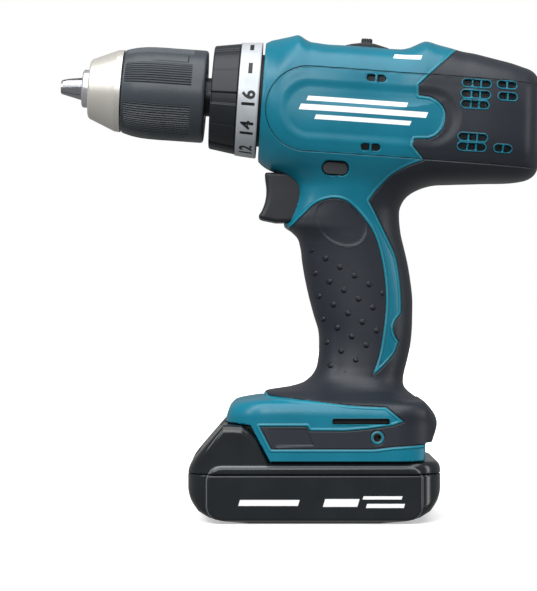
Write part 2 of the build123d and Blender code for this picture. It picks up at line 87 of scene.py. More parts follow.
def outlineDistance(x, z, outline):  # distance to a closed outline, negative inside
    a = outline
    b = np.roll(outline, -1, axis=0)
    near = np.full(x.shape, 1e9)
    inside = np.zeros(x.shape, bool)
    for (ax, az), (bx, bz) in zip(a, b):
        ex, ez = bx - ax, bz - az
        t = np.clip(((x - ax) * ex + (z - az) * ez) / max(ex * ex + ez * ez, 1e-12), 0, 1)
        near = np.minimum(near, (x - ax - t * ex) ** 2 + (z - az - t * ez) ** 2)
        if az != bz:
            inside ^= ((az > z) != (bz > z)) & (x < ex * (z - az) / ez + ax)
    return np.where(inside, -1.0, 1.0) * np.sqrt(near)


def slotDistance(x, z, ax, az, bx, bz, radius):  # distance to a slot with round ends, from a to b
    ex, ez = bx - ax, bz - az
    t = np.clip(((x - ax) * ex + (z - az) * ez) / (ex * ex + ez * ez), 0, 1)
    return np.hypot(x - ax - t * ex, z - az - t * ez) - radius


def boxDistance(x, y, z, low, high, radius=0.0):  # distance to a box with rounded edges
    middle = [(l + h) / 2 for l, h in zip(low, high)]
    half = [(h - l) / 2 - radius for l, h in zip(low, high)]
    q = [np.abs(c - m) - h for c, m, h in zip((x, y, z), middle, half)]
    outside = np.sqrt(sum(np.maximum(a, 0) ** 2 for a in q))
    return outside + np.minimum(np.maximum(np.maximum(q[0], q[1]), q[2]), 0) - radius


def joinSoft(a, b, reach):  # the smaller distance, with a fillet
    k = np.clip(0.5 + 0.5 * (b - a) / reach, 0, 1)
    return b + (a - b) * k - reach * k * (1 - k)


def cutSoft(a, b, reach):  # the larger distance, with a rounded edge
    return -joinSoft(-a, -b, reach)


def ramp(value, low, high):  # 0 to 1, smooth at both ends
    t = np.clip((value - low) / (high - low), 0, 1)
    return t * t * (3 - 2 * t)


def ovalDistance(a, b, halfA, halfB, power):  # distance, along the ray from the centre, to a rounded section
    size = (np.abs(a / halfA) ** power + np.abs(b / halfB) ** power) ** (1 / power) + 1e-9
    return np.hypot(a, b) * (1 - 1 / np.maximum(size, 0.05))


# from arrays to pieces


def newPiece(name, points, faces, body, material, replaces=()):
    # a smooth-shaded mesh from points in mm and faces of one size, riding on a body
    mesh = bpy.data.meshes.new(name)
    faces = np.asarray(faces, np.int32)
    sides = faces.shape[1]
    mesh.vertices.add(len(points))
    mesh.vertices.foreach_set("co", (np.asarray(points, np.float64) * mm).astype(np.float32).ravel())
    mesh.loops.add(faces.size)
    mesh.loops.foreach_set("vertex_index", faces.ravel())
    mesh.polygons.add(len(faces))
    mesh.polygons.foreach_set("loop_start", np.arange(len(faces), dtype=np.int32) * sides)
    mesh.polygons.foreach_set("use_smooth", np.full(len(faces), True))
    mesh.update(calc_edges=True)
    mesh.validate()
    piece = bpy.data.objects.new(name, mesh)
    bpy.context.scene.collection.objects.link(piece)
    mesh.materials.append(material)
    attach(piece, body)
    if replaces:
        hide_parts(*replaces)
    return piece


def addValues(piece, name, values):  # one number for each point, that a finish can read
    layer = piece.data.attributes.new(name, "FLOAT", "POINT")
    layer.data.foreach_set("value", np.asarray(values, np.float32))


def skin(field, low, high, step):
    # the zero surface of a distance function: a point in each grid cell it crosses, a face across each edge
    axes = [np.arange(l, h + step, step) for l, h in zip(low, high)]
    x, y, z = np.meshgrid(*axes, indexing="ij")
    value = field(x, y, z)
    cells = np.array(value.shape) - 1
    total = np.zeros((3, cells.prod()))
    count = np.zeros(cells.prod())
    quads = []
    for axis in range(3):
        p, q = (axis + 1) % 3, (axis + 2) % 3
        lower = np.take(value, range(cells[axis]), axis)
        upper = np.take(value, range(1, cells[axis] + 1), axis)
        at = np.argwhere((lower < 0) != (upper < 0))
        a, b = lower[tuple(at.T)], upper[tuple(at.T)]
        where = at.astype(float)
        where[:, axis] += a / (a - b)
        around = []
        for dp, dq in ((0, 0), (-1, 0), (-1, -1), (0, -1)):
            cell = at.copy()
            cell[:, p] += dp
            cell[:, q] += dq
            valid = ((cell >= 0) & (cell < cells)).all(1)
            flat = np.ravel_multi_index(tuple(np.clip(cell, 0, cells - 1).T), cells)
            around.append(np.where(valid, flat, -1))
            for k in range(3):
                total[k] += np.bincount(flat[valid], where[valid, k], cells.prod())
            count += np.bincount(flat[valid], minlength=cells.prod())
        ring = np.column_stack(around)
        ring = np.where((a < 0)[:, None], ring, ring[:, ::-1])
        quads.append(ring[(ring >= 0).all(1)])
    quads = np.vstack(quads)
    used = np.unique(quads)
    renumber = np.full(cells.prod(), -1)
    renumber[used] = np.arange(len(used))
    points = (total[:, used] / count[used]).T * step + np.array([a[0] for a in axes])
    for _ in range(3):  # settle each point on the surface, along its normal
        f, n = field(*points.T), slopeOf(field, points)
        move = f / np.maximum((n ** 2).sum(1), 0.2)
        points = points - n * np.clip(move, -0.5 * step, 0.5 * step)[:, None]
    normals = slopeOf(field, points)
    normals /= np.maximum(np.linalg.norm(normals, axis=1), 1e-6)[:, None]
    return points, renumber[quads], normals


def slopeOf(field, points, reach=0.12):
    # the field's slope at each point, from its values a short reach either side
    slopes = []
    for k in range(3):
        shift = np.zeros(3)
        shift[k] = reach
        slopes.append((field(*(points + shift).T) - field(*(points - shift).T)) / (2 * reach))
    return np.column_stack(slopes)


def skinPiece(name, points, faces, normals, body, material, replaces, keep=None):
    # keep: one true or false for each face, so that one skin can be shared out between pieces
    faces = faces if keep is None else faces[keep]
    used = np.unique(faces)
    renumber = np.full(len(points), -1)
    renumber[used] = np.arange(len(used))
    piece = newPiece(name, points[used], renumber[faces], body, material, replaces)
    if len(piece.data.vertices) == len(used):
        piece.data.normals_split_custom_set_from_vertices(normals[used].astype(np.float32).tolist())
    return piece, used


def turnedPiece(name, radiusOf, along, count, body, material, replaces=()):
    # radiusOf(along, turn) carried round the barrel's axis: along is a list of places, turn a full circle
    turn = np.linspace(0, 2 * np.pi, count, endpoint=False)
    place, spin = np.meshgrid(np.arange(len(along)), turn, indexing="ij")
    u, r = radiusOf(place, spin)
    x, z = fromBarrel(u, r * np.cos(spin))
    points = np.column_stack([x.ravel(), (-r * np.sin(spin)).ravel(), z.ravel()])
    i, j = np.meshgrid(np.arange(len(along) - 1), np.arange(count), indexing="ij")
    k = (j + 1) % count
    faces = np.column_stack([(i * count + j).ravel(), (i * count + k).ravel(), ((i + 1) * count + k).ravel(),
                             ((i + 1) * count + j).ravel()])
    return newPiece(name, points, faces, body, material, replaces)


class Value:
    # wraps a node socket, so that sums and products of values read as Python and add Math nodes

    def __init__(self, tree, socket):
        self.tree, self.socket = tree, socket

    def math(self, operation, *others):
        node = self.tree.nodes.new("ShaderNodeMath")
        node.operation = operation
        for n, item in enumerate((self,) + others):
            if isinstance(item, Value):
                self.tree.links.new(item.socket, node.inputs[n])
            else:
                node.inputs[n].default_value = item
        return Value(self.tree, node.outputs[0])

    def __add__(self, other):
        return self.math("ADD", other)

    def __radd__(self, other):
        return self.math("ADD", other)

    def __sub__(self, other):
        return self.math("SUBTRACT", other)

    def __rsub__(self, other):
        return (self * -1.0).math("ADD", other)

    def __mul__(self, other):
        return self.math("MULTIPLY", other)

    def __rmul__(self, other):
        return self.math("MULTIPLY", other)

    def __truediv__(self, other):
        return self.math("DIVIDE", other)

    def __pow__(self, other):
        return self.math("POWER", other)

    def __abs__(self):
        return self.math("ABSOLUTE")

    def most(self, other):
        return self.math("MAXIMUM", other)

    def ramp(self, low, high):  # 0 at low, 1 at high, smooth between
        node = self.tree.nodes.new("ShaderNodeMapRange")
        node.interpolation_type = "SMOOTHSTEP"
        self.tree.links.new(self.socket, node.inputs["Value"])
        node.inputs["From Min"].default_value = low
        node.inputs["From Max"].default_value = high
        return Value(self.tree, node.outputs["Result"])

    def ridge(self, centre, reach):  # 1 at centre, falling to 0 at reach from it
        return abs(self - centre).ramp(reach, 0.0)


class Finish:
    # one material under way: its node tree, its shader, and the ways to add a node

    def __init__(self, name, **fixed):
        self.material = bpy.data.materials.new(name)
        self.material.use_nodes = True
        self.tree = self.material.node_tree
        self.shader = self.tree.nodes["Principled BSDF"]
        for key, value in fixed.items():
            self.shader.inputs[key.replace("_", " ")].default_value = value
        coords = self.tree.nodes.new("ShaderNodeTexCoord")
        self.place = coords.outputs["Object"]

    def node(self, kind, settings=None, **inputs):
        node = self.tree.nodes.new(kind)
        for key, value in (settings or {}).items():
            setattr(node, key, value)
        for key, value in inputs.items():
            socket = node.inputs[key.replace("_", " ")]
            if isinstance(value, Value):
                self.tree.links.new(value.socket, socket)
            elif isinstance(value, bpy.types.NodeSocket):
                self.tree.links.new(value, socket)
            else:
                socket.default_value = value
        return node

    def values(self, name):
        return Value(self.tree, self.node("ShaderNodeAttribute", {"attribute_name": name}).outputs["Fac"])

    def noise(self, size, detail=3.0, rough=0.5, stretch=(1, 1, 1)):  # size in mm; 0 to 1
        scale = tuple(s * 1000.0 / size for s in stretch)
        shape = self.node("ShaderNodeMapping", Vector=self.place, Scale=scale)
        out = self.node("ShaderNodeTexNoise", Vector=shape.outputs[0], Scale=1.0, Detail=detail,
                        Roughness=rough)
        return Value(self.tree, out.outputs["Fac"])

    def parts(self):
        out = self.node("ShaderNodeSeparateXYZ", Vector=self.place)
        return [Value(self.tree, s) * 1000.0 for s in out.outputs]

    def barrelParts(self):
        x, y, z = self.parts()
        dx, dz = x - barrel["x"], z - barrel["z"]
        return dx * lean[0] - dz * lean[1], y, dx * lean[1] + dz * lean[0]

    def mix(self, share, first, second):  # colours, by a share from 0 to 1
        node = self.tree.nodes.new("ShaderNodeMix")
        node.data_type = "RGBA"
        for socket, item in zip((node.inputs[0], node.inputs[6], node.inputs[7]), (share, first, second)):
            if isinstance(item, Value):
                self.tree.links.new(item.socket, socket)
            elif isinstance(item, bpy.types.NodeSocket):
                self.tree.links.new(item, socket)
            else:
                socket.default_value = item if isinstance(item, float) else (*item, 1.0)
        return node.outputs[2]

    def colour(self, item):
        if isinstance(item, bpy.types.NodeSocket):
            self.tree.links.new(item, self.shader.inputs["Base Color"])
        else:
            self.shader.inputs["Base Color"].default_value = (*item, 1.0)

    def glow(self, item):
        self.tree.links.new(item, self.shader.inputs["Emission Color"])

    def rough(self, value):
        self.tree.links.new(value.socket, self.shader.inputs["Roughness"])

    def bump(self, height):  # the last step of a finish: relief, with its height in mm
        node = self.node("ShaderNodeBump", Height=height * mm, Strength=1.0, Distance=1.0)
        self.tree.links.new(node.outputs[0], self.shader.inputs["Normal"])
        return self.material


# linear colours of the plain finishes; the lighter teal is a painted highlight for the teal's rims
tones = {
    "teal": (0.0, 0.130, 0.195), "tealHighlight": (0.012, 0.270, 0.350), "rubber": (0.012, 0.016, 0.023),
    "black": (0.012, 0.014, 0.018), "case": (0.008, 0.011, 0.013), "silver": (0.66, 0.68, 0.70),
    "nickel": (0.66, 0.64, 0.59), "steel": (0.56, 0.57, 0.60), "ink": (0.012, 0.012, 0.013),
}


def shade(name, share):  # a plain finish's colour, times a share
    return tuple(c * share for c in tones[name])


# plain printed stripes: start and end along, height, half thickness
barrelStripes = [(20, 64, 0.0, 1.0), (17, 73, -3.9, 1.25), (24, 66, -8.0, 1.0), (57, 69, 21.6, 1.0)]
batteryStripes = [(-33, -7, 9.6, 1.3), (4, 19, 9.6, 1.7), (21, 38, 11.8, 0.7), (22.5, 39, 8.3, 0.9)]


def stripesAt(along, up, stripes, slant):
    # 1 inside any stripe: its ends slant by so much along for each mm up
    marks = None
    for start, end, at, half in stripes:
        across = along - (up - at) * slant - (start + end) / 2
        length = abs(across).ramp((end - start) / 2 + 0.1, (end - start) / 2 - 0.1)
        one = length * abs(up - at).ramp(half + 0.1, half - 0.1)
        marks = one if marks is None else marks.most(one)
    return marks


def shellFinish():
    # one moulding in two plastics: soft is the distance into the overmould, line the distance from the
    # panel's edge, vent that from an air slot's edge, and depth how far in from the outside
    f = Finish("tealAndRubber", Specular_IOR_Level=0.38)
    soft, line, vent = f.values("soft"), f.values("line"), f.values("vent")
    isSoft = soft.ramp(-0.12, 0.12)
    x, y, z = f.parts()
    u, _, v = f.barrelParts()
    # pips on a slanting lattice: places counted along its two directions, in whole steps
    dx, dz = x - 5.2, z - 116.5
    first, second = (dx * -6.45 + dz * 4.7) / -59.7, (dz * 6.45 + dx * 3.85) / -59.7
    first, second = first - first.math("ROUND", 0.0), second - second.math("ROUND", 0.0)
    away = ((first * 6.45 - second * 4.7) ** 2.0 + (first * -3.85 - second * 6.45) ** 2.0) ** 0.5
    pipZone = f.values("pips").ramp(0.1, -0.1)
    pip = away.ramp(1.35, 0.45) * pipZone
    side = abs(y).ramp(22.0, 22.4)
    marks = stripesAt(u, v, barrelStripes, 0.35) * side * soft.ramp(-0.3, -0.5)
    blotch = f.noise(14.0, 3.0)
    grain = f.noise(0.55, 2.0, 0.6)
    sparkle = f.noise(0.25, 1.0)
    teal = f.mix(blotch.ramp(0.3, 0.75), tones["teal"], shade("teal", 1.12))
    # painted highlight: a lighter teal band along the raised rim where the teal meets the overmould
    rim = soft.ridge(-0.75, 0.6)
    teal = f.mix(rim * 0.5, teal, tones["tealHighlight"])
    rubber = f.mix(grain.ramp(0.35, 0.7), shade("rubber", 0.9), shade("rubber", 1.15))
    colour = f.mix(isSoft * vent.ramp(0.62, 0.80), teal, rubber)
    # painted shade: near-black lines in the panel groove, along the sunk seam at the overmould's edge, just
    # outside the rims round the air slots, and round each pip
    groove = line.ridge(0.0, 0.32) * 0.85 * (1.0 - isSoft)
    slotEdgeShade = vent.ridge(0.9, 0.25) * isSoft
    pipEdgeShade = away.ridge(1.35, 0.4) * pip.ramp(-0.01, 0.0) * pipZone * 0.9 * isSoft
    dark = soft.ridge(0.15, 0.32).most(groove).most(slotEdgeShade).most(pipEdgeShade)
    colour = f.mix(dark * 0.8, colour, (0.003, 0.004, 0.006))
    # painted highlight: a thin lighter line along the panel's edge where it crosses the overmould
    colour = f.mix(line.ridge(0.25, 0.3) * isSoft * 0.35, colour, (0.10, 0.11, 0.12))
    # painted shade: a dark teal line 1.45 mm inside the teal crescent at the back of the grip, as the shade
    # of an inset step
    crescent = x.ramp(24.6, 25.4) * x.ramp(35.6, 34.8) * z.ramp(68.0, 70.0) * z.ramp(132.0, 130.0)
    inset = soft.ridge(-1.45, 0.26) * crescent
    colour = f.mix(inset * 0.75, colour, (0.0, 0.03, 0.045))
    colour = f.mix(marks, colour, (0.86, 0.87, 0.88))
    # painted shade: whatever lies more than about a millimetre in from the outside, such as the floors of the
    # air slots and the insides of the openings, is painted near black
    depth = f.values("depth")
    colour = f.mix(depth.ramp(0.6, 1.1), colour, (0.004, 0.005, 0.006))
    f.colour(colour)
    f.rough(0.24 + 0.12 * isSoft + 0.10 * blotch + 0.05 * grain - 0.12 * pip * isSoft)
    rims = 0.35 * soft.ridge(-0.75, 0.8) + 0.30 * vent.ridge(0.4, 0.5)
    sunk = 0.4 * line.ridge(0.0, 0.4) + 0.35 * soft.ridge(0.15, 0.4)
    fine = (0.012 + 0.02 * isSoft) * grain + 0.006 * sparkle
    return f.bump(rims - sunk + 0.8 * pip * isSoft + f.values("pad") + fine)


def plasticFinish(name, tone, roughness=0.42, grainSize=0.5, grainHeight=0.02, spread=0.12):
    # moulded plastic: slow changes of tone and gloss, under a fine moulded grain
    f = Finish(name, Specular_IOR_Level=0.35)
    blotch, grain = f.noise(11.0, 3.0), f.noise(grainSize, 2.0, 0.6)
    darker, lighter = tuple(c * (1 - spread) for c in tone), tuple(c * (1 + spread) for c in tone)
    f.colour(f.mix(blotch.ramp(0.3, 0.75), darker, lighter))
    f.rough(roughness + 0.1 * (blotch - 0.5) + 0.08 * (grain - 0.5))
    return f.bump(grainHeight * grain)


def turnedMetal(name, tone, roughness=0.28, lines=0.012, spread=0.10, metal=1.0):
    # turned marks: fine rings about the spindle axis, from noise that changes only along it
    f = Finish(name, Metallic=metal)
    along, across, up = f.barrelParts()
    radius = (across * across + up * up) ** 0.5
    ring = f.node("ShaderNodeCombineXYZ", X=along * 4.0, Y=radius * 4.0, Z=0.0).outputs[0]
    marks = Value(f.tree, f.node("ShaderNodeTexNoise", Vector=ring, Scale=1.0, Detail=3.0).outputs["Fac"])
    blotch = f.noise(6.0, 3.0)
    f.colour(f.mix(marks.ramp(0.3, 0.7), tuple(c * (1 - spread) for c in tone), tone))
    f.rough(roughness + 0.10 * (marks - 0.5) + 0.08 * (blotch - 0.5))
    return f.bump(lines * marks)


def groundMetal(name, tone, roughness=0.25, stretch=(0.2, 1, 1)):
    # fine straight marks, from noise stretched one way
    f = Finish(name, Metallic=1.0)
    marks, blotch = f.noise(0.25, 2.0, 0.5, stretch), f.noise(5.0, 3.0)
    f.colour(f.mix(marks.ramp(0.3, 0.7), tuple(c * 0.85 for c in tone), tone))
    f.rough(roughness + 0.12 * (blotch - 0.5) + 0.08 * (marks - 0.5))
    return f.bump(0.004 * marks)


def copperFinish():
    # wound wire: bright strands, with painted shade in the gaps between them
    f = Finish("woundCopper", Metallic=1.0)
    strands = f.noise(0.8, 2.0, 0.5, (1, 0.3, 1))
    f.colour(f.mix(strands.ramp(0.35, 0.65), (0.30, 0.10, 0.04), (0.78, 0.36, 0.17)))
    f.rough(0.3 + 0.2 * strands)
    return f.bump(0.1 * strands)


def lensFinish():
    # clear plastic with a faint haze
    f = Finish("clearLens", Roughness=0.08, Transmission_Weight=0.6, IOR=1.5)
    haze = f.noise(1.2, 2.0)
    f.colour(f.mix(haze, (0.75, 0.82, 0.88), (0.9, 0.95, 1.0)))
    return f.bump(0.02 * haze)


def caseFinish():
    # battery case: glossy black moulding, with a painted highlight along the edges of its side panel
    f = Finish("batteryCase", Specular_IOR_Level=0.45)
    blotch, grain, edge = f.noise(18.0, 3.0), f.noise(0.5, 2.0, 0.6), f.values("line")
    tone = f.mix(blotch.ramp(0.3, 0.75), shade("case", 0.85), shade("case", 1.2))
    x, y, z = f.parts()
    marks = stripesAt(x, z, batteryStripes, 0.3)
    # painted highlight: a lighter line along the side panel's raised edge
    tone = f.mix(edge.ridge(0.0, 0.42) * 0.75, tone, (0.17, 0.19, 0.21))
    f.colour(f.mix(marks * abs(y).ramp(36.0, 36.4), tone, (0.82, 0.83, 0.84)))
    f.rough(0.13 + 0.08 * blotch + 0.05 * grain)
    return f.bump(0.008 * grain + 0.004 * blotch)


def scaleFinish():
    # silver paint, with the dark moulding showing at both edges of the ring
    f = Finish("silverPaint", Metallic=0.15)
    along = f.barrelParts()[0]
    blotch, grain = f.noise(9.0, 3.0), f.noise(0.3, 2.0, 0.6)
    tone = f.mix(blotch.ramp(0.3, 0.75), (0.40, 0.43, 0.46), (0.47, 0.50, 0.53))
    f.colour(f.mix(abs(along + 6.0).ramp(4.45, 4.7), tone, (0.02, 0.022, 0.026)))
    f.rough(0.34 + 0.1 * (blotch - 0.5) + 0.06 * (grain - 0.5))
    return f.bump(0.006 * grain)


def sleeveFinish():
    # dark moulding, with painted highlight on the tops of the ribs and painted shade between them
    f = Finish("sleevePlastic", Specular_IOR_Level=0.35)
    blotch, grain, ribs = f.noise(11.0, 3.0), f.noise(0.4, 2.0, 0.6), f.values("ribs")
    # painted highlight and shade: lighter on the rib tops, darker in the hollows between
    tone = f.mix(ribs.ramp(0.05, 0.95), (0.017, 0.021, 0.026), (0.055, 0.068, 0.081))
    f.colour(f.mix(blotch.ramp(0.3, 0.75) * 0.12, tone, (0.05, 0.06, 0.07)))
    f.rough(0.34 + 0.1 * (blotch - 0.5) + 0.08 * (grain - 0.5))
    return f.bump(0.02 * grain)


finishes = {
    "shell": shellFinish(),
    "blackPlastic": plasticFinish("blackPlastic", tones["black"], 0.40),
    "sleevePlastic": sleeveFinish(),
    "ringPlastic": plasticFinish("ringPlastic", (0.009, 0.012, 0.016), 0.42, 0.5, 0.015),
    "case": caseFinish(),
    "nylon": plasticFinish("gearNylon", (0.05, 0.05, 0.055), 0.45, 0.4, 0.03, 0.2),
    "silver": scaleFinish(),
    "nickel": turnedMetal("nickelCone", tones["nickel"], 0.32, 0.010, 0.06, 0.6),
    "steel": turnedMetal("turnedSteel", tones["steel"], 0.25, 0.012, 0.10, 0.75),
    "blackened": turnedMetal("blackenedSteel", (0.045, 0.047, 0.052), 0.38, 0.012),
    "dark": groundMetal("groundSteel", (0.42, 0.43, 0.46), 0.22),
    "spring": groundMetal("drawnWire", (0.35, 0.35, 0.37), 0.3, (1, 1, 0.3)),
    "brass": groundMetal("stampedBrass", (0.72, 0.52, 0.22), 0.28),
    "copper": copperFinish(),
    "ferrite": plasticFinish("ferrite", (0.05, 0.05, 0.055), 0.6, 0.3, 0.05, 0.25),
    "carbon": plasticFinish("carbon", (0.02, 0.02, 0.02), 0.6, 0.3, 0.05, 0.25),
    "board": plasticFinish("circuitBoard", (0.02, 0.16, 0.07), 0.35, 1.2, 0.05, 0.3),
    "wrap": plasticFinish("cellWrap", (0.04, 0.14, 0.40), 0.3, 2.0, 0.02, 0.1),
    "leads": plasticFinish("leadSleeve", (0.32, 0.02, 0.02), 0.45, 0.6, 0.03, 0.15),
    "lens": lensFinish(),
    "ink": plasticFinish("printInk", tones["ink"], 0.45, 0.3, 0.005, 0.2),
}
slotFinish = {
    "teal_shell": "shell", "soft_grip": "shell", "black_plastic": "blackPlastic",
    "ring_plastic": "ringPlastic",
    "battery_plastic": "case", "nylon": "nylon", "clear_lens": "lens", "silver_paint": "silver",
    "nickel": "nickel",
    "steel": "steel", "dark_steel": "dark", "spring_steel": "spring", "brass": "brass", "copper": "copper",
    "ferrite": "ferrite", "carbon": "carbon", "board": "board", "cell_wrap": "wrap", "lead_rubber": "leads",
}
for row in frame["record"]["subparts"]:
    mesh = frame["nodes"][row["node"]].data
    mesh.materials.clear()
    finishName = "blackened" if row["node"] == "spindle" else slotFinish[row["material_slot"]]
    mesh.materials.append(finishes[finishName])
print("finishes made:", len(finishes))


# the housing: outlines (along, up) in the barrel's coordinates
housing = {
    "wall": 3.2,
    "top": [(-2, 25.6), (0, 26.0), (2.0, 27.1), (6, 28.2), (11.5, 29.4), (13.6, 29.95), (14.4, 30.0),
            (15.2, 29.7), (17, 28.6), (19.8, 27.3), (22.6, 27.0), (28, 26.6), (33.5, 26.7), (45, 26.8),
            (58, 26.7), (61.5, 26.9), (64.5, 27.8), (68.7, 30.0), (70.6, 30.9), (71.6, 31.1), (73, 30.95),
            (76.9, 30.0), (82.5, 28.9), (88, 27.7), (93.5, 27.1), (99, 26.1), (104.6, 25.1), (110.1, 24.1),
            (115.6, 22.7), (121.2, 21.3), (130, 18.6)],
    "bottom": [(-2, -26.6), (0, -26.9), (2, -28.6), (4, -29.7), (12.6, -30.5), (40, -30.8), (66, -32.6),
               (80, -32.5), (92, -31.4), (102.2, -30.4), (118.4, -28.6), (123, -27.4), (130, -25)],
    "width": [(-2, 26.6), (0, 26.8), (4, 28.2), (9, 29.9), (16, 31.0), (60, 31.0), (90, 30.8), (104, 30.0),
              (113, 28.4), (120, 26.0), (126, 22.0), (130, 18)],
    # the handle: height, front, back, half width
    "handle": [(46, -20, 47, 33.0), (51, -21, 46.6, 32.0), (55, -21.6, 44.6, 29.0),
               (57.2, -20.2, 42.2, 24.6), (58.6, -11.5, 41.0, 22.4), (60.4, -5.0, 40.4, 20.6),
               (62.5, -1.9, 40.6, 19.2), (66.2, 0.9, 41.4, 18.3), (71.6, 2.3, 42.8, 17.8),
               (77.1, 2.7, 43.9, 17.6), (84.3, 2.3, 44.7, 17.8), (90.7, 0.4, 44.9, 18.0),
               (98.9, -1.8, 44.9, 18.2), (107, -3.6, 44.0, 18.4), (115.2, -5.0, 42.6, 18.7),
               (122, -5.9, 41.0, 19.1), (126.1, -7.3, 40.0, 19.4), (128.8, -10.0, 39.5, 19.6),
               (130.6, -12.6, 39.3, 19.8), (134, -13.0, 39.0, 20.1), (140, -10.5, 39.5, 20.8),
               (146, -9.0, 43.6, 21.9), (150, -9.5, 49, 22.8), (155, -13.5, 58, 24.2),
               (160, -20, 66, 25.6), (170, -22, 74, 27.5), (178, -22, 76, 28.5)],
}
topOf, bottomOf, widthOf = curve(housing["top"]), curve(housing["bottom"]), curve(housing["width"])
handleRows = np.array(housing["handle"])
frontOf, backOf, gripOf = (curve(handleRows[:, [0, k]]) for k in (1, 2, 3))


def dish(u, v):  # how far the side's long recess goes in: a sloping rim from the panel line to the inner oval
    outer = slotDistance(u, v, 20.6, -4.6, 150, -4.6, 18.6)
    inner = slotDistance(u, v, 21.5, -4.7, 74.6, -4.6, 10.6)
    return 0.35 * ramp(-outer, -0.3, 0.4) + 0.35 * ramp(-outer, 0.0, 5.0) + 0.75 * ramp(-inner, -3.4, 1.2)


def barrelField(u, y, v, inset=0.0):
    # a rounded oval section at each place along the barrel, closed by a domed rear, moved in by inset
    top, bottom, width = topOf(u), bottomOf(u), widthOf(u)
    middle, half = (top + bottom) / 2, (top - bottom) / 2
    power = 2.05 + 1.15 * ramp(u, 1, 18)
    side = ovalDistance(y, v - middle, width, half, power) + inset
    rear = (u - 126.2 + 0.055 * (v + 22) + 0.0045 * y * y) + inset
    return cutSoft(side, rear, 6.0)


def gripField(x, y, z):
    # a rounded oval section at each height, between the front and back outlines
    front, back, half = frontOf(z), backOf(z), gripOf(z)
    section = ovalDistance(x - (front + back) / 2, y, (back - front) / 2, half, 2.35)
    return np.maximum(section, np.maximum(z - 180, 49 - z))


def footField(x, y, z):
    # a rounded plan, with the upper outline above and the stepped edge of the battery's seat below
    plan = boxDistance(x, y, 0 * z, (-38.9, -37.5, -50), (55.8, 37.5, 50), 20.0)
    under = np.where(x < -28, 43.9 - 0.06 * (x + 38), np.where(x < -19.4, 43.2 - (x + 28.0) * 1.86, 27.5))
    under = np.where(x > 48.3, np.maximum(under, 27.5 + (x - 48.3) * 1.32), under)
    top = np.interp(x, [-39, -35.3, -24, -10, 30, 48.6, 54, 56],
                    [51.6, 52.9, 54.2, 54.4, 53.4, 52.9, 47.6, 44.9])
    shape = cutSoft(plan, z - top, 7.0)
    shape = cutSoft(shape, (x - 55.9 + (45.8 - z) * 0.40) * 0.93, 1.5)
    shape = np.maximum(shape, (under - z) * 0.8)
    return np.maximum(shape, np.where(z < 35.4, x - 48.5, -50.0))


# air slots: start and end along the barrel, height, openings
ventRows = [(89.3, 98.7, 11.6, 3), (104.8, 110.1, 12.1, 2), (89.0, 98.6, 6.75, 3), (105.4, 110.6, 6.9, 2),
            (89.2, 98.2, 2.25, 3), (89.0, 98.6, -12.15, 3), (89.0, 98.2, -16.35, 3),
            (105.2, 109.8, -16.05, 2)]
smallVents = [(46.9, 52.5, 10.8), (46.4, 52.0, -19.6)]
ventDepth = 1.6  # the slots stop this deep, on a floor that the shell finish paints near black as shade


def ventDistance(u, v):  # distance to the nearest air slot
    near = np.full(np.shape(u), 50.0)
    for start, end, up, _ in ventRows:
        near = np.minimum(near, slotDistance(u, v, start, up, end, up + 0.07 * (end - start) / 12, 1.35))
    return near


def smallVentDistance(u, v):
    near = np.full(np.shape(u), 50.0)
    for start, end, up in smallVents:
        near = np.minimum(near, slotDistance(u, v, start, up, end, up, 1.5))
    return near


def ventBars(u, v):  # the upright bars left standing in the slots
    bars = np.full(np.shape(u), 50.0)
    for start, end, up, openings in ventRows:
        for k in range(1, openings):
            at = start - 1.0 + (end - start + 2.0) * k / openings
            bars = np.minimum(bars, np.maximum(abs(u - at) - 0.42, abs(v - up) - 2.2))
    for start, end, up in smallVents:
        bars = np.minimum(bars, np.maximum(abs(u - (start + end) / 2) - 0.55, abs(v - up) - 2.2))
    return bars


skirtTable = []  # filled on first use


def skirtDistance(x, z):  # distance to the soft skirt round the foot, looked up in a table
    first, gap = np.array([-62.0, 25.0]), 0.4
    if not skirtTable:
        gx, gz = np.meshgrid(first[0] + gap * np.arange(310), first[1] + gap * np.arange(110), indexing="ij")
        near = [outlineDistance(gx, gz, outline) for outline in (softBack, softFront)]
        skirtTable.append(np.minimum(near[0], near[1]))
    fx, fz = np.clip((x - first[0]) / gap, 0, 308.9), np.clip((z - first[1]) / gap, 0, 108.9)
    i, j = fx.astype(int), fz.astype(int)
    a, b, table = fx - i, fz - j, skirtTable[0]
    return ((table[i, j] * (1 - a) + table[i + 1, j] * a) * (1 - b)
            + (table[i, j + 1] * (1 - a) + table[i + 1, j + 1] * a) * b)


def wholeField(x, y, z):  # the outside of the tool, both halves
    u, v = toBarrel(x, z)
    body = joinSoft(barrelField(u, y, v), gripField(x, y, z), 9.0)
    body = np.maximum(body, -u)
    body = joinSoft(body, footField(x, y, z), 3.5)
    side = ramp(abs(y), 14, 20)
    # the soft skirt stands a little proud of the foot
    skirt = ramp(skirtDistance(x, z), 0.3, -0.3) * ramp(z, 66, 58) * ramp(z, 43, 49)
    return body + dish(u, v) * side - 0.45 * skirt


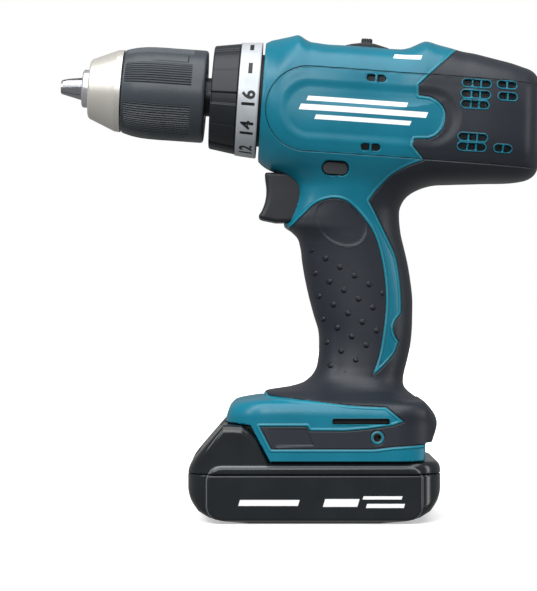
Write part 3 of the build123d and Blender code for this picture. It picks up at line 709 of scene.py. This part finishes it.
def shellField(x, y, z):
    # the outside, less the room inside, the air slots and every opening
    u, v = toBarrel(x, z)
    whole = wholeField(x, y, z)
    body = whole
    inner = np.maximum(barrelField(u, y, v, housing["wall"]), -u + 3.0)
    inner = np.minimum(inner, np.hypot(y, v) - 22.7 + 50 * (u > 40))
    slots = np.maximum(np.minimum(ventDistance(u, v), smallVentDistance(u, v)), -ventBars(u, v))
    slots = np.maximum(slots, np.maximum(18 - abs(y), -whole - ventDepth))
    body = np.maximum(body, -inner)
    body = cutSoft(body, -slots, 0.35)
    trigger = boxDistance(x, y, z, (-45, -11.2, 132.8), (8.6, 11.2, 155.8), 2.5)
    rails = np.minimum(boxDistance(x, y, z, (-70, -30.6, 34.8), (46.8, 30.6, 43.8), 0.3),
                       boxDistance(x, y, z, (-70, -27.9, 20), (46.8, 27.9, 36), 0.3))
    rails = np.minimum(rails, boxDistance(x, y, z, (30.4, -15.4, 34), (46.4, 15.4, 47.6), 0.2))
    rails = np.minimum(rails, boxDistance(x, y, z, (-34.5, -9.4, 43), (-30, 9.4, 48.2), 0.2))
    lever = slotDistance(u, v, 31.8, -29.5, 37.5, -29.5, 3.05)
    speed = boxDistance(u, y, v, (40.4, -4.7, 15), (57.4, 4.7, 45), 0.3)
    hook = boxDistance(x, abs(y), z, (7.9, 34.0, 44.0), (32.5, 45, 46.1), 0.3)
    thread = np.maximum(np.hypot(x - 27.3, z - 37.9) - 2.0, 30.8 - abs(y))
    light = boxDistance(u, y, v, (0.2, -4.15, -32), (5.0, 4.15, -25), 0.3)
    for opening in (trigger, rails, lever, speed, hook, thread, light):
        body = cutSoft(body, -opening, 0.5)
    return body


# outlines of the soft overmould, seen from the side, in world x and z
softBack = np.vstack([
    [(27, 51.4), (31.2, 51.3), (38.9, 44.9), (34.1, 33.9), (70, 36), (160, 120), (160, 235), (75, 221)],
    [(64.4, 209.9), (45.9, 192.4), (45.9, 187.9)],
    smoothRun([(47.2, 187.8), (51.5, 187.0), (55.6, 184.1), (57.6, 179.6), (56.6, 173.8),
               (53.6, 170.2), (50.2, 168.7)], 5),
    [(44.1, 168.7), (43.2, 165.8)],
    smoothRun([(48.4, 159.6), (40.5, 156.6), (34.3, 153.1), (30.6, 149.6), (27.6, 146.3),
               (24.4, 141.9)], 5)[:-1],
    smoothRun([(24.4, 141.9), (27.7, 136.0), (32.9, 125.7), (36.6, 117.6), (38.4, 108.0), (39.2, 98.4),
               (39.2, 91.8)], 5),
    smoothRun([(38.9, 91.6), (36.6, 88.7), (35.5, 85.1), (36.6, 81.3), (38.1, 79.5)], 5),
    smoothRun([(37.9, 79.0), (35.9, 73.9), (30.7, 68.1), (25.9, 64.0)], 5),
])
softFront = np.vstack([
    smoothRun([(25.9, 64.0), (29.1, 73.2), (31.0, 84.3), (32.1, 95.4), (31.7, 106.5), (29.9, 117.6),
               (26.9, 127.2), (22.5, 133.8), (15.9, 140.8), (9.9, 143.0), (4.1, 142.3), (-0.4, 140.1),
               (-4.8, 136.0), (-10.7, 130.1), (-18, 122)], 5),
    [(-60, 100), (-60, 57.6), (-21.9, 57.6), (-20.2, 55.5)],
    smoothRun([(-19.5, 55.4), (-2.9, 54.2), (16.4, 52.0), (31.2, 51.35)], 5), [(36, 54), (36, 60), (29, 65)],
])
softBand = np.array([(38.9, 44.9), (34.1, 43.2), (22.7, 41.6), (13.1, 40.8), (-2.3, 40.9), (-3.3, 42.8),
                     (-24.1, 42.8), (-19.0, 32.9), (25.9, 32.9), (34.1, 33.9), (46, 34.8), (46, 45.2)])
bandPanel = np.array([(-21.3, 42.4), (-3.6, 42.2), (-0.6, 34.6), (-17.2, 34.2)])
pipRegion = np.array([(-4, 119), (1, 121.5), (10, 116.5), (22, 110), (30, 105), (31.5, 98), (33, 86),
                      (31, 79.5), (24, 73), (20, 66), (4, 66), (3, 78), (-1, 90), (-4, 105)])


def softDistance(x, z):  # positive inside the overmould
    parts = [outlineDistance(x, z, outline) for outline in (softBack, softFront, softBand)]
    joined = np.minimum(np.minimum(parts[0], parts[1]), parts[2])
    return -joined


def padHeights(x, z):
    # the thumb's sunk oval with its fine raised rim, and the sunk panel at the front of the foot's band
    turn = math.radians(-38)
    a = (x - 12.0) * math.cos(turn) + (z - 132.6) * math.sin(turn)
    b = -(x - 12.0) * math.sin(turn) + (z - 132.6) * math.cos(turn)
    oval = (np.hypot(a / 12.6, b / 9.3) - 1) * 10
    height = -0.3 * ramp(outlineDistance(x, z, bandPanel), 0.35, -0.35)
    return height - 0.35 * ramp(-oval, -0.5, 0.5) + 0.2 * np.exp(-((oval + 0.1) / 0.5) ** 2)


screwPlaces = [(56.6, 207.3), (95.2, 160), (-5, 160), (32.5, 138), (1.8, 112), (38, 84), (8.5, 70.5),
               (46, 50), (-30, 50.2)]


def screwWells(x, y, z):  # wells for the clamshell screws, from the outside down to the heads
    near = np.full(x.shape, 50.0)
    for sx, sz in screwPlaces:
        well = np.maximum(np.hypot(x - sx, z - sz) - 3.3, 8.2 - abs(y))
        if sx < -20:  # the foremost one stays under the foot's top
            well = np.maximum(well, z - 51.2)
        near = np.minimum(near, well)
    return near


def halfSkin(wells):
    # the skin of the half on the -y side, and the values its finish reads
    step = 0.72

    def field(x, y, z):
        body = shellField(x, y, z)
        if wells:
            body = cutSoft(body, -screwWells(x, y, z), 0.6)
        return cutSoft(body, y + 0.06, 0.3)

    points, faces, normals = skin(field, (-41, -39.5, 26), (105, 1.0, 219.5), step)
    x, y, z = points.T
    u, v = toBarrel(x, z)
    depth = -wholeField(x, y, z)
    soft = softDistance(x, z)
    # a ring of hard plastic round the hook's thread
    soft = np.minimum(soft, (np.hypot(x - 27.3, z - 37.9) - 3.0) + 6 * (abs(y) < 34))
    slot = boxDistance(x, abs(y), z, (7.9, 34.0, 44.0), (32.5, 45, 46.1), 0.3)
    soft = np.maximum(soft, 0.2 - 3 * slot)
    soft = np.where(depth < 1.6, soft, -6)  # the soft skin is on the outside only
    line = slotDistance(u, v, 20.6, -4.6, 150, -4.6, 18.6)
    line = np.where(y < -16, line, 9)
    vent = np.where(abs(y) > 20, ventDistance(u, v), 9)
    pads = padHeights(x, z) * (soft > 0.5)
    pips = np.clip(outlineDistance(x, z, pipRegion), -9, 9)
    return points, faces, normals, {"soft": soft, "line": line, "vent": vent, "pad": pads, "pips": pips,
                                    "depth": depth}


def makeHousing():
    # the right half mirrors the left, with screw wells; each skin is shared between hard and soft plastic
    sides = {}
    for side, name in ((1, "left"), (-1, "right")):
        points, faces, normals, values = halfSkin(side < 0)
        soft = values["soft"]
        flip = np.array([1, side, 1])
        turned = faces if side > 0 else faces[:, ::-1]
        middle = soft[faces].mean(1)
        shares = [(middle <= 0, "housing", "teal_shell"), (middle > 0, "overmould", "soft_grip")]
        for keep, kind, slotName in shares:
            piece, used = skinPiece(name + kind.capitalize(), points * flip, turned, normals * flip, "tool",
                                    finishes["shell"], (name + "_" + kind,), keep)
            for key, given in values.items():
                addValues(piece, key, np.clip(given[used], -9, 9))
            sides[piece.name] = piece
    print("housing skins:", {k: len(p.data.polygons) for k, p in sides.items()})


makeHousing()

sleeveShape = {"ribRadius": 20.8, "ribPitch": 1.16, "ribDepth": 0.55, "padHeight": 0.40, "count": 720,
               "rows": 118}


def sleeve():
    # turned profile with two banks of fine ribs along it, smooth bands between and a plain band at the back
    line = [(-62.8, 17.2), (-62.8, 18.3), (-62.3, 18.75), (-60.8, 19.25), (-58, 20.0), (-54, 20.6)]
    line += [(-50, 20.85), (-45, 20.95)] + [(u, 20.9) for u in np.linspace(-42, -27, 16)]
    line += [(-26.3, 20.8), (-25.7, 20.4), (-25.5, 19.8), (-25.5, 11.9)]
    fine = np.interp(np.linspace(0, len(line) - 1, sleeveShape["rows"]), range(len(line)), range(len(line)))
    u = np.interp(fine, range(len(line)), [p[0] for p in line])
    r = np.interp(fine, range(len(line)), [p[1] for p in line])

    def ribsAt(along, spin):  # rib height from 0 to 1, and where there are ribs
        third = (np.degrees(spin) - 51.5) % 120  # degrees into one of three like sectors round the sleeve
        bankOne = ramp(third, 1.2, 2.4) * ramp(third, 31.5, 30.3)
        bankTwo = ramp(third, 56.0, 57.2) * ramp(third, 103.2, 102.0)
        arc = np.radians(third) * sleeveShape["ribRadius"]
        ribs = (0.5 + 0.5 * np.cos(arc * 2 * math.pi / sleeveShape["ribPitch"])) ** 1.6
        zone = (bankOne + bankTwo) * ramp(along, -61.9, -61.4) * ramp(along, -31.5, -31.9)
        return third, ribs, zone

    def radius(place, spin):
        along, base = u[place], r[place]
        third, ribs, zone = ribsAt(along, spin)
        pad = ramp(third, 104.6, 105.4) * ramp(third, 119.4, 118.6)
        pad = pad * ramp(along, -50.2, -49.8) * ramp(along, -33.6, -34.0)
        shape = base - sleeveShape["ribDepth"] * zone * (1 - ribs) + sleeveShape["padHeight"] * pad
        return along, np.where(base > 18, shape, base)

    count = sleeveShape["count"]
    piece = turnedPiece("chuckSleeve", radius, u, count, "chuck_sleeve",
                        finishes["sleevePlastic"], ("chuck_sleeve",))
    turn = np.linspace(0, 2 * np.pi, count, endpoint=False)
    place, spin = np.meshgrid(np.arange(len(u)), turn, indexing="ij")
    third, ribs, zone = ribsAt(u[place], spin)
    addValues(piece, "ribs", (0.5 + (ribs - 0.55) * zone).ravel())
    print("sleeve faces:", len(piece.data.polygons))
    return piece


torqueShape = {"padEvery": 60, "valley": 13.4, "valleyDepth": 1.1, "grooveAt": 35.5, "grooveDepth": 0.22}


def torqueRing():
    # a cone with six wide grip pads, parted by narrower valleys
    line = [(-21.4, 10.4), (-22.8, 10.4), (-22.8, 20.0), (-22.8, 22.7), (-22.4, 23.2)]
    line += [(u, 23.3 + (u + 22.3) * 0.152) for u in np.linspace(-22.2, -11.4, 24)]
    line += [(-11.1, 24.9), (-11.1, 21.2)]
    u, r = np.array(line).T

    def radius(place, spin):
        along, base = u[place], r[place]
        # degrees past the lower edge of a pad, where a valley starts
        third = (np.degrees(spin) - 90 + 2) % torqueShape["padEvery"]
        valley = ramp(third, 0.0, 1.1) * ramp(third, torqueShape["valley"], torqueShape["valley"] - 1.1)
        small = ramp(abs(third - torqueShape["grooveAt"]), 1.0, 0.4) * torqueShape["grooveDepth"]
        depth = (torqueShape["valleyDepth"] * valley + small) * ramp(along, -22.9, -22.2)
        return along, np.where(base > 22, base - depth, base)

    return turnedPiece("torqueRing", radius, u, 720, "torque_ring", finishes["ringPlastic"],
                       ("torque_ring",))


def scaleRing():
    # a shallow cone with chamfered ends
    line = [(-11.0, 21.2), (-11.0, 25.1), (-10.7, 25.45)]
    line += [(u, 25.5 + (u + 10.7) * 0.0825) for u in np.linspace(-10.4, -1.5, 12)]
    line += [(-1.2, 25.9), (-1.2, 21.2)]
    u, r = np.array(line).T
    return turnedPiece("scaleRing", lambda place, spin: (u[place], r[place]), u, 240, "torque_ring",
                       finishes["silver"], ("scale_ring",))


printShape = {"size": 7.9, "bold": 0.27, "firstTurn": 3, "turnEach": 30.5, "along": -5.9, "radius": 25.9,
              "dashes": ((-28, 5.6, 1.8), (-60.5, 6.2, 1.8))}


def wrapOnRing(points, turnDegrees, along, height=0.04):
    # flat print wrapped on the ring: its width runs round the axis, its height along it
    turn = math.radians(90 + turnDegrees) - points[:, 0] / printShape["radius"]
    u = along - points[:, 1]
    r = 25.5 + (u + 10.7) * 0.0825 + height + points[:, 2]
    x, z = fromBarrel(u, r * np.cos(turn))
    return np.column_stack([x, -r * np.sin(turn), z])


def ringPrint():
    # even numbers at equal turns round the ring and two dashes, each made flat and wrapped on it
    allPoints, allFaces = [], []
    for number in range(16, 0, -2):
        text, turn = str(number), printShape["firstTurn"] + printShape["turnEach"] * (8 - number // 2)
        words = bpy.data.curves.new("digits", "FONT")
        words.body, words.size, words.align_x, words.align_y = text, printShape["size"], "CENTER", "CENTER"
        words.resolution_u = 3
        words.space_character = 1.02
        holder = bpy.data.objects.new("digits", words)
        bpy.context.scene.collection.objects.link(holder)
        bpy.context.view_layer.update()
        flat = bpy.data.meshes.new_from_object(holder)
        bpy.data.objects.remove(holder)
        points = np.zeros(len(flat.vertices) * 3)
        flat.vertices.foreach_get("co", points)
        points = points.reshape(-1, 3)
        flat.calc_loop_triangles()
        triangles = np.zeros(len(flat.loop_triangles) * 3, np.int32)
        flat.loop_triangles.foreach_get("vertices", triangles)
        points = points - (points.max(0) + points.min(0)) / 2
        for part in range(9):  # copies shifted round a small circle make the strokes bold
            shift = printShape["bold"] if part else 0.0
            dx, dy = shift * math.cos(part * 0.7854), shift * math.sin(part * 0.7854)
            allFaces.append(triangles.reshape(-1, 3) + sum(len(p) for p in allPoints))
            allPoints.append(wrapOnRing(points * (1.02, 1.0, 1.0) + (dx, dy, 0.0), turn, printShape["along"]))
    for turn, length, width in printShape["dashes"]:
        a = np.linspace(-length / 2, length / 2, 8)
        points = np.column_stack([np.repeat(a, 2), np.tile((-width / 2, width / 2), 8), np.zeros(16)])
        k = np.arange(7) * 2
        quads = np.column_stack([k, k + 1, k + 3, k + 2])[:, ::-1]
        start = sum(len(p) for p in allPoints)
        allFaces.append(np.vstack([quads[:, [0, 1, 2]], quads[:, [0, 2, 3]]]) + start)
        allPoints.append(wrapOnRing(points, turn, printShape["along"]))
    return newPiece("scaleNumbers", np.vstack(allPoints), np.vstack(allFaces), "torque_ring",
                    finishes["ink"])


sleeve()
torqueRing()
scaleRing()
ringPrint()
print("chuck sleeve and rings made")

triggerShape = {"halfWidth": 10.6, "hollow": 0.9, "top": 155.3, "bottom": 132.9, "back": 8.0}
triggerFace = curve([(133, -24.6), (135.6, -24.7), (138, -23.3), (141, -22.1), (145, -21.3), (149, -21.3),
                     (153, -21.8), (156, -22.0)])  # height and the face's place along x


def triggerField(x, y, z):
    # front face hollow for the finger, with a rolled edge; the back goes straight into the housing
    hollow = triggerShape["hollow"] * ramp(abs(y), 8.5, 3.0)
    front = triggerFace(z) + hollow - x
    shape = cutSoft(abs(y) - triggerShape["halfWidth"], front, 2.6)
    upper = z - triggerShape["top"] + 0.03 * (x + 20)
    lower = triggerShape["bottom"] - z - 0.2 * np.minimum(x + 17, 0)
    shape = cutSoft(shape, upper, 1.4)
    shape = cutSoft(shape, lower, 1.8)
    return cutSoft(shape, x - triggerShape["back"], 0.5)


def makeTrigger():
    points, faces, normals = skin(triggerField, (-26.5, -12.2, 131.5), (9.5, 12.2, 157), 0.6)
    skinPiece("fingerTrigger", points, faces, normals, "trigger", finishes["blackPlastic"],
              ("trigger",))
    print("trigger faces:", len(faces))


makeTrigger()


def selectorField(x, y, z):
    # a thin curved plate with a ridged knob
    u, v = toBarrel(x, z)
    plate = np.interp(u, [34.8, 38.8, 42.9, 48.8, 55.4], [27.1, 28.3, 29.0, 29.0, 27.4])
    knob = boxDistance(u, y, v, (43.1, -3.4, 27), (47.8, 3.4, 31.2), 0.5)
    knob = knob - 0.12 * np.cos(u * 2 * math.pi / 1.2)
    body = boxDistance(u, y, v, (34.8, -4.4, 25.2), (55.4, 4.4, 40), 0.3)
    return joinSoft(cutSoft(body, v - plate, 0.5), knob, 0.5)


points, faces, normals = skin(selectorField, (8, -6, 206), (36, 6, 222), 0.35)
skinPiece("speedSelector", points, faces, normals, "speed_selector",
          finishes["blackPlastic"], ("speed_selector",))
print("speed selector faces:", len(faces))

battery = {"half": 55.8, "side": 36.3, "panelSide": 37.2, "seam": 21.7, "step": 0.85, "latchStep": 0.6,
           "panel": ((-47.6, -5, 1.2), (47.4, 5, 25.6), 7.0)}


def caseField(x, y, z):
    # rounded plan and belly, sloping front shoulders, and a raised panel on each side
    half, side = battery["half"], battery["side"]
    plan = boxDistance(x, y, 0 * z, (-half, -side, -50), (half, side, 50), 14.0)
    belly = np.interp(abs(x), [0, 28.5, 39.4, 46, 51, 54.6, 58], [0, 0, 0.9, 2.4, 4.9, 8.6, 14])
    shape = cutSoft(plan, belly - z, 5.0)
    deck = 27.2 - 1.6 * ramp(x, 50, 57)
    slope = 25.2 + (x + 55.8) * 1.145
    crest = np.interp(x, [-40, -36.5, -32.0, -28.9, -25.3, -20.0], [43.4, 43.4, 43.1, 41.2, 37.8, 27.2])
    upper = np.maximum(np.minimum(slope, crest), deck)
    upper = np.where(x < -38, np.minimum(slope, 43.4), upper)
    shape = cutSoft(shape, (z - upper) * 0.8, 3.4)
    panel = boxDistance(x, 0 * y, z, *battery["panel"])
    raised = np.maximum(cutSoft(panel, abs(y) - battery["panelSide"], 1.4), 30 - abs(y))
    return joinSoft(shape, np.maximum(raised, belly - z + 0.4), 0.5)


def latchRoom(x, y, z):  # the pocket round the release button
    away = (x + 48.5) * 0.763 - (z - 24.0) * 0.646
    return np.maximum(np.maximum(away, abs(y) - 14.3), 24.0 - z)


def lowerField(x, y, z):  # the case below the seam
    return cutSoft(caseField(x, y, z), z - battery["seam"] + 0.12, 0.35)


def upperField(x, y, z):
    # the case above the seam, with its rails, contact slots and the room for the latch
    shape = cutSoft(caseField(x, y, z), battery["seam"] + 0.12 - z, 0.35)
    rail = np.minimum(boxDistance(x, y, z, (-32, -30.2, 35.2), (29, 30.2, 43.4), 0.6),
                      boxDistance(x, y, z, (-32, -27.5, 24), (29, 27.5, 36), 0.6))
    shape = np.minimum(shape, rail)
    for at in (-10, 10):
        shape = cutSoft(shape, -boxDistance(x, y, z, (10, at - 1.3, 30), (30, at + 1.3, 50), 0.2), 0.3)
    shape = cutSoft(shape, -latchRoom(x, y, z), 0.5)
    pocket = boxDistance(x, y, z, (-34.5, -9.3, 30), (-30, 9.3, 50), 0.2)
    tongue = boxDistance(x, y, z, (-45, -7.4, 30.6), (-29, 7.4, 38.6), 0.2)
    return np.maximum(shape, -np.minimum(pocket, tongue))


def latchField(x, y, z):
    # a sloping button with finger ridges, on a tongue that reaches back to the catch
    along, away = (x + 51.0) * 0.6586 + (z - 30.7) * 0.7525, -(x + 51.0) * 0.7525 + (z - 30.7) * 0.6586
    ridges = 0.28 * np.cos(along * 2 * math.pi / 2.2) * ramp(abs(y), 12, 11)
    ridges = ridges * ramp(along, 1.5, 2.5) * ramp(along, 12.2, 11.2)
    button = boxDistance(along, y, away - ridges * (away > -1), (0, -13.9, -3.0), (13.6, 13.9, 0), 0.8)
    tongue = np.minimum(boxDistance(x, y, z, (-33.9, -8.8, 34.4), (-30.5, 8.8, 46.6), 0.3),
                        boxDistance(x, y, z, (-44, -7, 34.4), (-30.5, 7, 37.2), 0.3))
    return np.minimum(button, tongue)


def makeBattery():
    # skins of the lower case, upper case and latch; line is the distance from the side panel's edge
    size, step = battery["half"] + 1.5, battery["step"]
    lower = skin(lowerField, (-size, -39, -1), (size, 39, 24), step)
    upper = skin(upperField, (-size, -39, 20), (size, 39, 46), step)
    latch = skin(latchField, (-53.5, -15.5, 26), (-28, 15.5, 48.5), battery["latchStep"])
    rows = [
        ("batteryLowerCase", lower, "battery", "battery_lower_case"),
        ("batteryUpperCase", upper, "battery", "battery_upper_case"),
        ("batteryLatch", latch, "battery_latch", "battery_latch"),
    ]
    for name, (points, faces, normals), body, node in rows:
        piece, used = skinPiece(name, points, faces, normals, body, finishes["case"],
                                (node,))
        x, y, z = points[used].T
        panel = boxDistance(x, 0 * y, z, *battery["panel"])
        addValues(piece, "line", np.clip(np.where(abs(y) > 33, panel, 9), -9, 9))
        print(name, "faces:", len(faces))


makeBattery()

room = {
    "ambient": 0.31, "floor": 3.0, "aim": (0, 0, 0.12), "sun": 3.6, "sunSpread": 70, "sunTurn": (24, -6),
    "lamps": {  # place, size, power
        "front": ((-0.35, -1.3, 0.62), (0.9, 0.5), 8.5),
        "left": ((-1.0, -0.5, 0.75), (0.3, 1.0), 6.0),
        "right": ((1.1, -0.35, 0.25), (0.2, 1.0), 4.0),
    },
}
shot = {"lens": 127.6, "sensor": 36.0, "place": (-0.0202, -0.95, 0.100)}


def stage():
    # a floor that fades into a white room
    size = room["floor"]
    mesh = bpy.data.meshes.new("floor")
    corners = [(-size, -size, 0), (size, -size, 0), (size, size, 0), (-size, size, 0)]
    mesh.from_pydata(corners, [], [(0, 1, 2, 3)])
    floor = bpy.data.objects.new("floor", mesh)
    bpy.context.scene.collection.objects.link(floor)
    f = Finish("paleFloor", Roughness=0.9, Emission_Strength=1.0)
    speck = f.noise(60.0, 2.0)
    x, y = f.parts()[:2]
    away = ((x * x + y * y) ** 0.5).ramp(90.0, 420.0)  # the floor brightens into the white behind
    f.colour(f.mix(away, f.mix(speck, (0.80, 0.80, 0.80), (0.84, 0.84, 0.84)), (0.5, 0.5, 0.5)))
    f.glow(f.mix(away, (0.42, 0.42, 0.42), (1.0, 1.0, 1.0)))
    f.bump(0.01 * speck)
    floor.visible_diffuse = False
    floor.visible_glossy = False
    mesh.materials.append(f.material)
    world = bpy.data.worlds.new("studio")
    world.use_nodes = True
    sky = world.node_tree.nodes["Background"]
    sky.inputs["Color"].default_value = (1, 1, 1, 1)
    # the room is dimmer than the white that is seen behind
    path = world.node_tree.nodes.new("ShaderNodeLightPath")
    dimmer = world.node_tree.nodes.new("ShaderNodeMapRange")
    dimmer.inputs["To Min"].default_value = room["ambient"]
    dimmer.inputs["To Max"].default_value = 1.0
    world.node_tree.links.new(path.outputs["Is Camera Ray"], dimmer.inputs["Value"])
    world.node_tree.links.new(dimmer.outputs[0], sky.inputs["Strength"])
    bpy.context.scene.world = world
    bpy.context.scene.view_settings.view_transform = "Standard"


def areaLight(name, place, aim, size, power):  # a rectangular lamp turned towards aim
    data = bpy.data.lights.new(name, "AREA")
    data.shape, data.size, data.size_y, data.energy = "RECTANGLE", size[0], size[1], power
    lamp = bpy.data.objects.new(name, data)
    lamp.location = place
    lamp.rotation_euler = (Vector(aim) - Vector(place)).to_track_quat("-Z", "Y").to_euler()
    bpy.context.scene.collection.objects.link(lamp)


stage()
sun = bpy.data.lights.new("overhead", "SUN")  # a wide soft light from above and a little in front
sun.energy, sun.angle = room["sun"], math.radians(room["sunSpread"])
above = bpy.data.objects.new("overhead", sun)
above.rotation_euler = (math.radians(room["sunTurn"][0]), math.radians(room["sunTurn"][1]), 0)
bpy.context.scene.collection.objects.link(above)
for name, (place, size, power) in room["lamps"].items():
    areaLight(name, place, room["aim"], size, power)

camera = bpy.data.cameras.new("camera")
camera.lens, camera.sensor_width, camera.sensor_fit = shot["lens"], shot["sensor"], "AUTO"
camera.clip_start = 0.05
view = bpy.data.objects.new("camera", camera)
view.location = shot["place"]
view.rotation_euler = (math.radians(90), 0, 0)
bpy.context.scene.collection.objects.link(view)
bpy.context.scene.camera = view
print("floor, lights and camera set")
